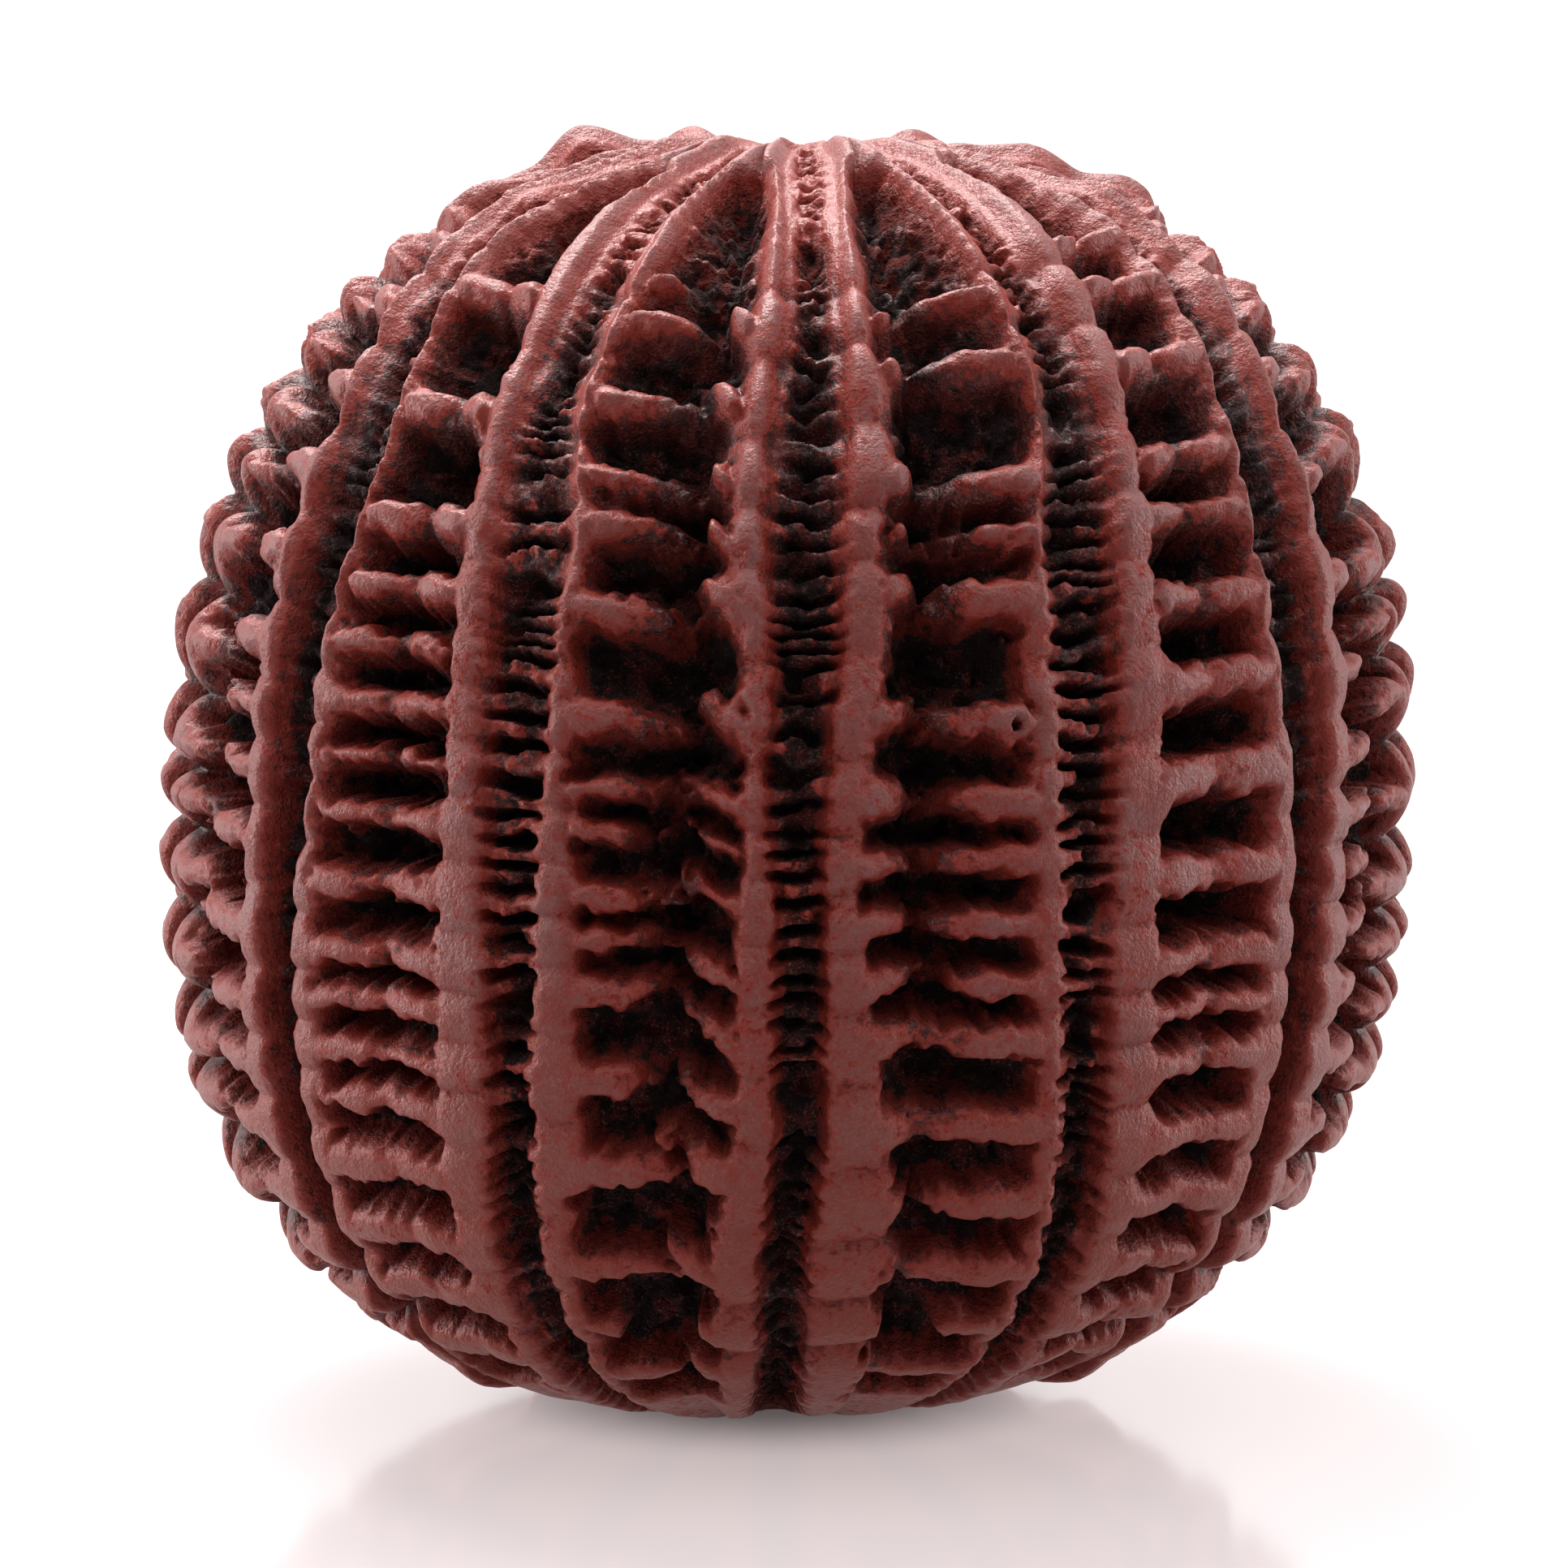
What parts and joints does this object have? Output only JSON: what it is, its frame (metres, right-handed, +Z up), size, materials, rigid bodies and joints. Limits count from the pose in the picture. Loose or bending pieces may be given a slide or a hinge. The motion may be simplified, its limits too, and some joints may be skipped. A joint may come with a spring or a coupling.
{
  "type": "rudraksha seed",
  "caption": "Squat round woody seed with deep grooves from end to end, worn ridges and pitted bands crossed by bars, standing on one end.",
  "frame": {"origin": "middle of the small flat spot that the seed stands on", "axes": "+Z up along the seed's own axis from the lower end to the stem end, -Y towards the side that the picture shows, +X to the right of it"},
  "size_m": [0.0238, 0.0237, 0.0241],
  "materials": {
    "shell": "reddish brown woody stone, satin where the ridges are worn, rough and almost black in the pits"
  },
  "bodies": {
    "root": {"rudraksha_seed": "shell"}
  },
  "joints": []
}
